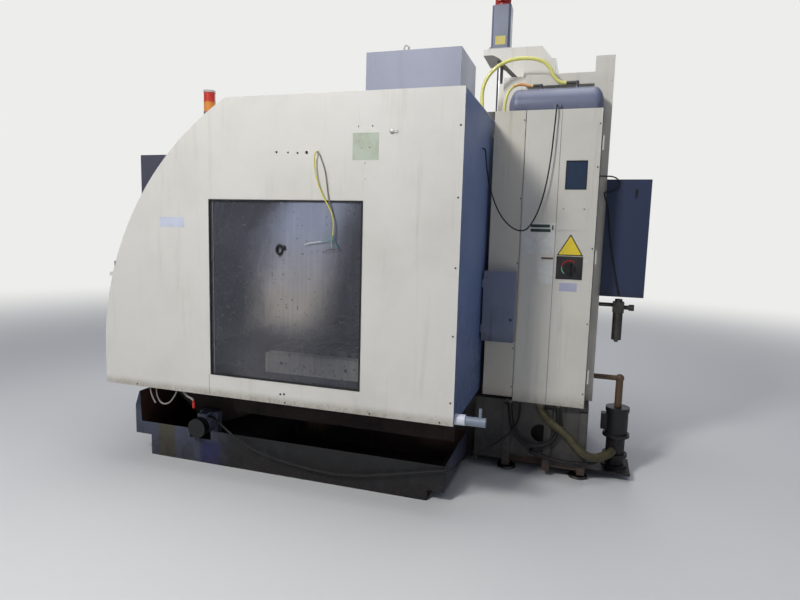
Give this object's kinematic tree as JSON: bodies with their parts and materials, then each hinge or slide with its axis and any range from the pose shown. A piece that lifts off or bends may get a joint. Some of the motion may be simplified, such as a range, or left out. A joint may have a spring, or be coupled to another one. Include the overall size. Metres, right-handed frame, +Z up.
{
  "type": "cnc machining center",
  "caption": "Vertical CNC machining center with a curved-front sheet enclosure, side window, sliding door, side and rear cabinets, air tank, coolant tank and control pendant.",
  "frame": {"origin": "on the floor, under the middle of the machine's outer box; x = 0 is the middle plane through the spindle axis", "axes": "+X to the operator's right, -Y towards the operator at the curved front, +Z up; y = 0 is half way between the pendant's controls at the front and the rear cabinet's door"},
  "size_m": [2.6224, 3.4, 3.083],
  "materials": {
    "panel_paint": "satin",
    "cabinet_paint": "satin",
    "rear_blue_paint": "satin",
    "casting_paint": "painted, matt",
    "tank_paint": "worn, oily",
    "rusty_sheet": "rusted, matt",
    "cabinet_blue_paint": "satin",
    "pendant_paint": "satin",
    "air_tank_paint": "satin",
    "galvanised_sheet": "dull",
    "motor_paint": "cast, painted",
    "cap_red": "satin",
    "bright_steel": "ground",
    "dark_steel": "oily",
    "window_glass": "fogged with dried coolant",
    "screen_glass": "gloss",
    "black_plastic": "satin",
    "red_plastic": "gloss",
    "green_plastic": "gloss",
    "amber_plastic": "gloss",
    "lamp_lens": "gloss",
    "pale_plastic": "satin",
    "black_rubber": "matt",
    "yellow_hose": "satin",
    "yellow_cable": "satin",
    "khaki_hose": "ribbed, oily"
  },
  "bodies": {
    "machine": {"bed_casting": "casting_paint", "levelling_feet": "dark_steel", "coolant_tank": "tank_paint", "inner_chutes": "rusty_sheet", "auger_gearmotor": "motor_paint", "column": "panel_paint", "feed_motors": "motor_paint", "motor_caps": "cap_red", "side_panel_right": "panel_paint", "side_panel_left": "panel_paint", "roof_panel": "panel_paint", "rear_panels": "rear_blue_paint", "front_shell": "panel_paint", "side_glass": "window_glass", "electrical_cabinet": "cabinet_paint", "terminal_box": "motor_paint", "cable_duct": "cabinet_paint", "air_tank": "air_tank_paint", "tank_hose_large": "yellow_hose", "tank_hose_small": "yellow_hose", "rear_cabinet": "cabinet_blue_paint", "air_filter": "dark_steel", "coolant_pump": "motor_paint", "drain_pipe": "pale_plastic", "signal_tower": "lamp_lens", "magazine_beam": "casting_paint", "panel_cable": "yellow_cable", "loop_cable": "black_rubber", "base_cable": "black_rubber", "u_hose": "black_rubber", "coolant_hose": "khaki_hose"},
    "saddle": {"saddle": "casting_paint", "x_servomotor": "motor_paint"},
    "table": {"table": "bright_steel", "table_end_covers": "panel_paint"},
    "head": {"head_casting": "casting_paint", "head_cover": "galvanised_sheet", "eye_bolt": "dark_steel", "spindle_motor": "motor_paint"},
    "spindle": {"spindle": "bright_steel"},
    "x_screw": {"x_ballscrew": "bright_steel"},
    "y_screw": {"y_ballscrew": "bright_steel"},
    "z_screw": {"z_ballscrew": "bright_steel"},
    "front_door": {"front_door": "panel_paint", "door_glass": "window_glass"},
    "cabinet_door": {"cabinet_door": "cabinet_paint"},
    "main_switch": {"main_switch": "black_plastic"},
    "terminal_box_cover": {"terminal_box_cover": "motor_paint"},
    "rear_cabinet_door": {"rear_cabinet_door": "cabinet_blue_paint"},
    "magazine": {"magazine_carriage": "casting_paint"},
    "carousel": {"magazine_carousel": "bright_steel"},
    "pendant": {"pendant_arm": "pendant_paint", "pendant_box": "pendant_paint", "pendant_screen": "screen_glass"},
    "emergency_stop": {"emergency_stop": "red_plastic"},
    "cycle_start": {"cycle_start_button": "green_plastic"},
    "feed_hold": {"feed_hold_button": "amber_plastic"},
    "override_knob": {"override_knob": "black_plastic"},
    "handwheel": {"handwheel": "black_plastic"},
    "auger": {"chip_auger": "dark_steel"}
  },
  "joints": [
    {"name": "y_slide", "type": "slide", "parent": "machine", "child": "saddle", "axis": [0, 1, 0], "range_m": [-0.07, 0.53]},
    {"name": "x_slide", "type": "slide", "parent": "saddle", "child": "table", "axis": [1, 0, 0], "range_m": [-0.91, 0.11]},
    {"name": "z_slide", "type": "slide", "parent": "machine", "child": "head", "axis": [0, 0, 1], "range_m": [-0.56, 0]},
    {"name": "spindle_spin", "type": "hinge", "parent": "head", "child": "spindle", "pos_m": [0, 0.1, 1.5], "axis": [0, 0, 1], "continuous": true},
    {"name": "x_screw_spin", "type": "hinge", "parent": "saddle", "child": "x_screw", "pos_m": [0, -0.13, 0.5753], "axis": [1, 0, 0], "range_deg": [-16381, 1981]},
    {"name": "y_screw_spin", "type": "hinge", "parent": "machine", "child": "y_screw", "pos_m": [0, 0, 0.42], "axis": [0, 1, 0], "range_deg": [-1261, 9541]},
    {"name": "z_screw_spin", "type": "hinge", "parent": "machine", "child": "z_screw", "pos_m": [0, 0.728, 0], "axis": [0, 0, 1], "range_deg": [-10081, 1]},
    {"name": "door_slide", "type": "slide", "parent": "machine", "child": "front_door", "axis": [-1, 0, 0], "range_m": [0, 0.82]},
    {"name": "cabinet_door_hinge", "type": "hinge", "parent": "machine", "child": "cabinet_door", "pos_m": [0.549, 1.4103, 1.3], "axis": [0, 0, 1], "range_deg": [0, 110], "deforming": ["loop_cable"]},
    {"name": "main_switch_turn", "type": "hinge", "parent": "cabinet_door", "child": "main_switch", "pos_m": [0.57, 1.267, 1.304], "axis": [1, 0, 0], "range_deg": [-90, 0]},
    {"name": "terminal_cover_hinge", "type": "hinge", "parent": "machine", "child": "terminal_box_cover", "pos_m": [0.625, 0.7767, 1.05], "axis": [0, 0, -1], "range_deg": [0, 90]},
    {"name": "rear_cabinet_door_hinge", "type": "hinge", "parent": "machine", "child": "rear_cabinet_door", "pos_m": [-0.3573, 1.689, 1.48], "axis": [0, 0, 1], "range_deg": [0, 110]},
    {"name": "magazine_slide", "type": "slide", "parent": "machine", "child": "magazine", "axis": [1, 0, 0], "range_m": [0, 0.53]},
    {"name": "carousel_spin", "type": "hinge", "parent": "magazine", "child": "carousel", "pos_m": [-0.78, 0.1, 1.6], "axis": [0, 0, 1], "continuous": true},
    {"name": "pendant_swivel", "type": "hinge", "parent": "machine", "child": "pendant", "pos_m": [1, -1.56, 1.21], "axis": [0, 0, 1], "range_deg": [0, 90]},
    {"name": "emergency_stop_press", "type": "slide", "parent": "pendant", "child": "emergency_stop", "axis": [0, 1, 0], "range_m": [0, 0.006], "stiffness_N_per_m": 1500},
    {"name": "cycle_start_press", "type": "slide", "parent": "pendant", "child": "cycle_start", "axis": [0, 1, 0], "range_m": [0, 0.004], "stiffness_N_per_m": 1200},
    {"name": "feed_hold_press", "type": "slide", "parent": "pendant", "child": "feed_hold", "axis": [0, 1, 0], "range_m": [0, 0.004], "stiffness_N_per_m": 1200},
    {"name": "override_turn", "type": "hinge", "parent": "pendant", "child": "override_knob", "pos_m": [0.61, -1.68, 1.41], "axis": [0, -1, 0], "range_deg": [-150, 150]},
    {"name": "handwheel_spin", "type": "hinge", "parent": "pendant", "child": "handwheel", "pos_m": [0.36, -1.68, 1.34], "axis": [0, -1, 0], "continuous": true},
    {"name": "auger_spin", "type": "hinge", "parent": "machine", "child": "auger", "pos_m": [0, -0.895, 0.232], "axis": [1, 0, 0], "continuous": true}
  ],
  "couplings": [
    {"joint": "x_screw_spin", "follows": "x_slide", "rad_per_m": 314.16},
    {"joint": "y_screw_spin", "follows": "y_slide", "rad_per_m": 314.16},
    {"joint": "z_screw_spin", "follows": "z_slide", "rad_per_m": 314.16}
  ]
}
